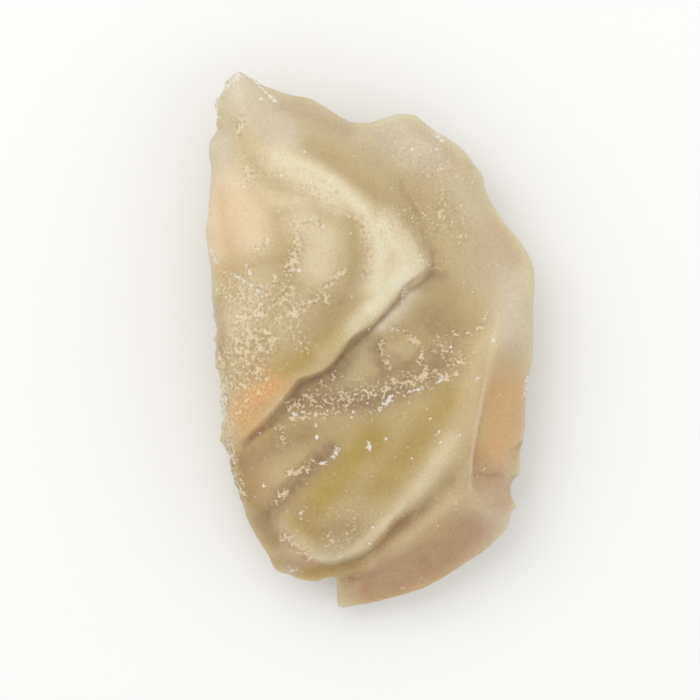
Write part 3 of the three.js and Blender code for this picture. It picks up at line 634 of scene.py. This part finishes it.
# How many rounds of averaging show the narrow cavities and the broad hollows, and how many even out the
# two results and the thickness.
SUNK_ROUNDS = {"cavity": 14, "hollow": 120}
EVEN_SUNK = 3
EVEN_THICKNESS = 12
# The rays that measure the thickness start this far under the surface.
RAY_START = 0.05 * MM
# Edges bent less than this are shaded smooth.
SMOOTH_ANGLE = math.radians(38)


class GLASS_OT_finish(Operator):
    """Paints the lump and gives it the material of wind-frosted natural glass"""

    bl_idname = "desert_glass.finish"
    bl_label = "Finish the surface"

    def execute(self, context):
        lump = bpy.data.objects["desert_glass"]
        points = vectors_of(lump, "co")
        normals = vectors_of(lump, "normal")
        for name in STROKES:
            paint(lump, name, stroke_weights(points, normals, name))

        pairs = edge_pairs(lump)
        for name, rounds in SUNK_ROUNDS.items():
            sunk = ((blurred(points, pairs, rounds) - points) * normals).sum(axis=1)
            paint(lump, name, blurred(sunk, pairs, EVEN_SUNK) / MM)

        tree = tree_of(lump)
        through = np.zeros(len(points))
        for i, (point, normal) in enumerate(zip(points.tolist(), normals.tolist())):
            inward = Vector((0, 0, -1 if normal[2] > 0 else 1))
            *_, distance = tree.ray_cast(Vector(point) + inward * RAY_START, inward)
            if distance:
                through[i] = distance
        paint(lump, "thickness", blurred(through, pairs, EVEN_THICKNESS) / MM)

        lump.data.materials.clear()
        lump.data.materials.append(frosted_glass(context.scene.glass_colours))
        select_only(lump)
        bpy.ops.object.shade_smooth_by_angle(angle=SMOOTH_ANGLE)
        return {"FINISHED"}


def add_node(tree, kind, inputs=None, out=0, **settings):
    """Adds a node with its settings and its inputs' values or links, and returns one of its outputs."""
    node = tree.nodes.new(kind)
    for name, value in settings.items():
        setattr(node, name, value)
    for name, value in (inputs or {}).items():
        if isinstance(value, bpy.types.NodeSocket):
            tree.links.new(value, node.inputs[name])
        else:
            node.inputs[name].default_value = value
    return node.outputs[out] if node.outputs else None


# Noise of the glass: its width in millimetres, its detail and its roughness.
NOISES = {
    "broad": (14, 2, 0.5),
    "patchy": (3.4, 4, 0.6),
    "clotted": (1.0, 4, 0.68),
    "fine": (0.5, 3, 0.65),
    "grit": (0.26, 2, 0.6),
}

# Washes of colour in the order they lie: the stroke and the setting of its tint, the noise that breaks it
# up, the range of that noise, and the strength at both ends of the range.
WASHES = [
    ("bloom", "patchy", 0.3, 0.65, 0.5, 1.0),
    ("rosy", "patchy", 0.3, 0.65, 0.65, 0.9),
    ("green", "patchy", 0.3, 0.6, 0.7, 0.95),
    ("shade", "patchy", 0.25, 0.6, 0.7, 1.0),
    ("cream", "patchy", 0.25, 0.55, 0.8, 1.0),
    ("peach", "clotted", 0.35, 0.6, 0.75, 1.0),
    ("dirt", "clotted", 0.35, 0.6, 0.35, 1.0),
]


# The Mix node's sockets share their names, so its factor, its two colours and their mix go by number.
FACTOR = 0
UNDER = 6
OVER = 7
MIXED = 2

# Painted shade and light that follow the relief: the valley tint as painted shade in hollows, the cream as
# painted light on crests. Each gives the tint, how far the surface is sunk in millimetres where it starts
# and where it is full, and its strength. A crest is sunk by less than zero.
RELIEF_SHADE_AND_LIGHT = [
    ("shade", 0.03, 0.4, 0.15),
    ("cream", -0.04, -0.5, 0.25),
]
# Width in millimetres of a cell that has at most one bruise, which is partly a painted glint
BRUISE_AND_GLINT_CELL = 2.6


def tint_and_painted_light(tree, noise, painted, tints):
    """Clean glass: greyish where it is thin and olive where it is thick, with painted shade in hollows and
    painted light on crests, in washes, and browner and darker in narrow cavities.
    """
    # The thickness in millimetres, made uneven by the broad noise
    clouded = add_node(
        tree,
        "ShaderNodeMath",
        {0: noise["broad"], 1: 12, 2: painted["thickness"]},
        operation="MULTIPLY_ADD",
    )
    share = add_node(tree, "ShaderNodeMapRange", {"Value": clouded, "From Min": 8, "From Max": 16})
    base = add_node(
        tree,
        "ShaderNodeMix",
        {FACTOR: share, UNDER: tints["thin"], OVER: tints["glass"]},
        MIXED,
        data_type="RGBA",
    )
    share = add_node(
        tree, "ShaderNodeMapRange", {"Value": clouded, "From Min": 18, "From Max": 30, "To Max": 0.85}
    )
    layers = [(share, "thick")]
    # Painted shade in hollows and painted light on crests
    for tint, low, high, strength in RELIEF_SHADE_AND_LIGHT:
        share = add_node(
            tree,
            "ShaderNodeMapRange",
            {"Value": painted["hollow"], "From Min": low, "From Max": high, "To Max": strength},
        )
        layers.append((share, tint))
    for name, pattern, low, high, least, most in WASHES:
        broken = add_node(
            tree,
            "ShaderNodeMapRange",
            {"Value": noise[pattern], "From Min": low, "From Max": high, "To Min": least, "To Max": most},
        )
        share = add_node(tree, "ShaderNodeMath", {0: painted[name], 1: broken}, operation="MULTIPLY")
        layers.append((share, name))
    # Browner and darker in narrow cavities
    share = add_node(
        tree,
        "ShaderNodeMapRange",
        {"Value": painted["cavity"], "From Min": 0.03, "From Max": 0.16, "To Max": 0.3},
    )
    layers.append((share, "dirt"))
    for share, tint in layers:
        base = add_node(
            tree, "ShaderNodeMix", {FACTOR: share, UNDER: base, OVER: tints[tint]}, MIXED, data_type="RGBA"
        )
    return base


def frosted(tree, noise, base):
    """The frosting: a fine grain of paler and darker points."""
    grain = add_node(
        tree, "ShaderNodeMath", {0: noise["fine"], 1: 0.8, 2: noise["grit"]}, operation="MULTIPLY_ADD"
    )
    grain = add_node(
        tree,
        "ShaderNodeMapRange",
        {"Value": grain, "From Min": 0.55, "From Max": 1.25, "To Min": 0.87, "To Max": 1.1},
    )
    return add_node(
        tree,
        "ShaderNodeMix",
        {FACTOR: 1.0, UNDER: base, OVER: grain},
        MIXED,
        data_type="RGBA",
        blend_type="MULTIPLY",
    )


def sand_specks(tree, noise, painted):
    """Where grains of sand stick: clots where the strokes are, and a few single grains everywhere."""
    clots = add_node(
        tree, "ShaderNodeMath", {0: noise["fine"], 1: 0.3, 2: noise["clotted"]}, operation="MULTIPLY_ADD"
    )
    clots = add_node(
        tree, "ShaderNodeMath", {0: painted["sand"], 1: 0.26, 2: clots}, operation="MULTIPLY_ADD"
    )
    clots = add_node(tree, "ShaderNodeMapRange", {"Value": clots, "From Min": 0.86, "From Max": 0.92})
    dust = add_node(
        tree, "ShaderNodeMath", {0: painted["sand"], 1: 0.16, 2: noise["fine"]}, operation="MULTIPLY_ADD"
    )
    dust = add_node(
        tree, "ShaderNodeMapRange", {"Value": dust, "From Min": 0.67, "From Max": 0.72, "To Max": 0.8}
    )
    return add_node(tree, "ShaderNodeMath", {0: clots, 1: dust}, operation="MAXIMUM")


def sandy(tree, noise, painted, tints, base, specks):
    """Pale and reddish grains of sand, with dark grit between them."""
    gritty = add_node(
        tree,
        "ShaderNodeMapRange",
        {"Value": noise["fine"], "From Min": 0.5, "From Max": 0.38, "To Max": 0.35},
    )
    gritty = add_node(tree, "ShaderNodeMath", {0: painted["sand"], 1: gritty}, operation="MULTIPLY")
    base = add_node(
        tree, "ShaderNodeMix", {FACTOR: gritty, UNDER: base, OVER: tints["dirt"]}, MIXED, data_type="RGBA"
    )
    reddish = add_node(
        tree,
        "ShaderNodeMapRange",
        {"Value": noise["patchy"], "From Min": 0.5, "From Max": 0.68, "To Max": 0.3},
    )
    grains = add_node(
        tree,
        "ShaderNodeMix",
        {FACTOR: reddish, UNDER: tints["sand"], OVER: tints["peach"]},
        MIXED,
        data_type="RGBA",
    )
    share = add_node(tree, "ShaderNodeMath", {0: specks, 1: 0.85}, operation="MULTIPLY")
    return add_node(
        tree, "ShaderNodeMix", {FACTOR: share, UNDER: base, OVER: grains}, MIXED, data_type="RGBA"
    )


def white_chips_and_glints(tree, where, noise, painted, tints, base):
    """Fresh chips, partly crushed white and partly painted glints: ragged where the strokes are, and single
    bruises everywhere.
    """
    ragged = add_node(
        tree, "ShaderNodeMath", {0: painted["white"], 1: 0.3, 2: noise["fine"]}, operation="MULTIPLY_ADD"
    )
    chips = add_node(tree, "ShaderNodeMapRange", {"Value": ragged, "From Min": 0.7, "From Max": 0.76})
    cells = {"Vector": where, "Scale": 1 / (BRUISE_AND_GLINT_CELL * MM)}
    centre = add_node(tree, "ShaderNodeTexVoronoi", cells, "Distance")
    pick = add_node(tree, "ShaderNodeTexVoronoi", cells, "Color")
    pick = add_node(tree, "ShaderNodeSeparateColor", {"Color": pick}, "Red")
    reach = add_node(tree, "ShaderNodeMath", {0: pick, 1: 0.36, 2: -0.32}, operation="MULTIPLY_ADD")
    reach = add_node(tree, "ShaderNodeMath", {0: reach, 1: centre}, operation="SUBTRACT")
    reach = add_node(
        tree, "ShaderNodeMath", {0: noise["fine"], 1: 0.34, 2: reach}, operation="MULTIPLY_ADD"
    )
    # Single bruises everywhere, partly painted glints
    bruises = add_node(tree, "ShaderNodeMapRange", {"Value": reach, "From Min": 0.07, "From Max": 0.1})
    fresh = add_node(tree, "ShaderNodeMath", {0: chips, 1: bruises}, operation="MAXIMUM")
    return add_node(
        tree, "ShaderNodeMix", {FACTOR: fresh, UNDER: base, OVER: tints["white"]}, MIXED, data_type="RGBA"
    )


def frosted_glass(colours):
    """Natural silica glass, frosted by blown sand: cloudy and satin, paler where it is thin, with painted
    shade and light on its relief and painted glints on its chips.
    """
    material = bpy.data.materials.new("wind-frosted natural glass")
    material.use_nodes = True
    tree = material.node_tree
    tree.nodes.clear()
    tints = {name: (*getattr(colours, name), 1) for name in colours.__annotations__}
    where = add_node(tree, "ShaderNodeTexCoord", out="Object")
    noise = {}
    for name, (width, detail, roughness) in NOISES.items():
        inputs = {"Vector": where, "Scale": 1 / (width * MM), "Detail": detail, "Roughness": roughness}
        noise[name] = add_node(tree, "ShaderNodeTexNoise", inputs)
    painted = {}
    for name in (*STROKES, *SUNK_ROUNDS, "thickness"):
        painted[name] = add_node(tree, "ShaderNodeAttribute", out="Fac", attribute_name=name)

    specks = sand_specks(tree, noise, painted)
    base = tint_and_painted_light(tree, noise, painted, tints)
    base = frosted(tree, noise, base)
    base = sandy(tree, noise, painted, tints, base, specks)
    base = white_chips_and_glints(tree, where, noise, painted, tints, base)

    height = add_node(
        tree, "ShaderNodeMath", {0: noise["grit"], 1: 0.6, 2: noise["fine"]}, operation="MULTIPLY_ADD"
    )
    height = add_node(tree, "ShaderNodeMath", {0: specks, 1: 0.5, 2: height}, operation="MULTIPLY_ADD")
    bump = add_node(
        tree, "ShaderNodeBump", {"Height": height, "Strength": 0.6, "Distance": 0.16 * MM}, "Normal"
    )
    rough = add_node(
        tree,
        "ShaderNodeMapRange",
        {"Value": noise["patchy"], "From Min": 0.3, "From Max": 0.7, "To Min": 0.5, "To Max": 0.62},
    )
    rough = add_node(tree, "ShaderNodeMath", {0: specks, 1: 0.25, 2: rough}, operation="MULTIPLY_ADD")
    surface = add_node(
        tree,
        "ShaderNodeBsdfPrincipled",
        {
            "Base Color": base,
            "Roughness": rough,
            "Normal": bump,
            "IOR": 1.46,
            "Transmission Weight": 0.25,
            "Subsurface Weight": 0.6,
            "Subsurface Radius": (1.0, 0.9, 0.65),
            "Subsurface Scale": 5 * MM,
        },
        subsurface_method="RANDOM_WALK",
    )
    inside = add_node(tree, "ShaderNodeVolumeAbsorption", {"Color": tints["depth"], "Density": 25.0})
    add_node(tree, "ShaderNodeOutputMaterial", {"Surface": surface, "Volume": inside})
    return material


# The lamps: a name, the place and the size. The power of each is a setting of the stage.
LAMPS = [
    ("key", (-0.24, 0.36, 0.62), 0.6),
    ("fill", (0.5, -0.2, 0.6), 0.8),
]
# Length of the floor's side
FLOOR_SIZE = 4
# Width of the camera's sensor in millimetres, and how far the camera is moved from above the lump's
# middle, which puts the lump a little right of and above the middle of the picture.
SENSOR = 36
SHIFT = Vector((-3.05, -1.45, 0)) * MM


class GLASS_OT_stage(Operator):
    """Lays the pale floor, sets the soft light and places the camera above the stone"""

    bl_idname = "desert_glass.stage"
    bl_label = "Set the stage"

    def execute(self, context):
        scene = context.scene
        stage = scene.stage_settings
        bpy.ops.mesh.primitive_plane_add(size=FLOOR_SIZE, location=(0, 0, LOW.z))
        floor = context.object
        floor.name = floor.data.name = "floor"
        bpy.ops.object.transform_apply(location=True, rotation=False, scale=False)
        paper = bpy.data.materials.new("matt white paper")
        paper.use_nodes = True
        surface = paper.node_tree.nodes["Principled BSDF"]
        surface.inputs["Base Color"].default_value = (*stage.floor, 1)
        surface.inputs["Roughness"].default_value = 0.9
        floor.data.materials.append(paper)

        for name, spot, size in LAMPS:
            lamp = bpy.data.objects.new(name, bpy.data.lights.new(name, "AREA"))
            lamp.data.energy = getattr(stage, f"{name}_power")
            lamp.data.size = size
            lamp.location = spot
            lamp.rotation_euler = (MIDDLE - Vector(spot)).to_track_quat("-Z", "Y").to_euler()
            lamp.visible_camera = False
            scene.collection.objects.link(lamp)

        world = bpy.data.worlds.new("studio")
        world.use_nodes = True
        background = world.node_tree.nodes["Background"]
        background.inputs["Color"].default_value = (1, 1, 1, 1)
        background.inputs["Strength"].default_value = stage.sky
        scene.world = world

        camera = bpy.data.objects.new("camera", bpy.data.cameras.new("camera"))
        camera.data.sensor_width = SENSOR
        camera.data.lens = SENSOR * (stage.camera_height - MIDDLE.z) / stage.view_width
        camera.data.clip_start = 0.01
        camera.data.clip_end = 20
        camera.location = Vector((MIDDLE.x, MIDDLE.y, LOW.z + stage.camera_height)) + SHIFT
        scene.collection.objects.link(camera)
        scene.camera = camera
        scene.view_settings.view_transform = "Standard"
        return {"FINISHED"}


class GLASS_PT_panel(Panel):
    """Lists the steps and the settings"""

    bl_idname = "GLASS_PT_panel"
    bl_label = "Desert Glass"
    bl_space_type = "VIEW_3D"
    bl_region_type = "UI"
    bl_category = "Desert Glass"

    def draw(self, context):
        for step in STEPS:
            self.layout.operator(step.bl_idname)
        for group in GROUPS:
            settings = getattr(context.scene, group)
            box = self.layout.box()
            for name in settings.__annotations__:
                box.prop(settings, name)


STEPS = (GLASS_OT_lump, GLASS_OT_chips, GLASS_OT_finish, GLASS_OT_stage)
GROUPS = {"lump_sizes": LumpSizes, "glass_colours": GlassColours, "stage_settings": StageSettings}
CLASSES = (*GROUPS.values(), *STEPS, GLASS_PT_panel)


def register():
    """Adds the steps, the panel and the settings to Blender."""
    for cls in CLASSES:
        bpy.utils.register_class(cls)
    for name, group in GROUPS.items():
        setattr(bpy.types.Scene, name, PointerProperty(type=group))


def unregister():
    """Takes the settings, the panel and the steps out again."""
    for name in GROUPS:
        delattr(bpy.types.Scene, name)
    for cls in reversed(CLASSES):
        bpy.utils.unregister_class(cls)


def main():
    """Builds the lump and its stage."""
    register()
    bpy.ops.desert_glass.lump()
    bpy.ops.desert_glass.chips()
    bpy.ops.desert_glass.finish()
    bpy.ops.desert_glass.stage()


if __name__ == "__main__":
    main()
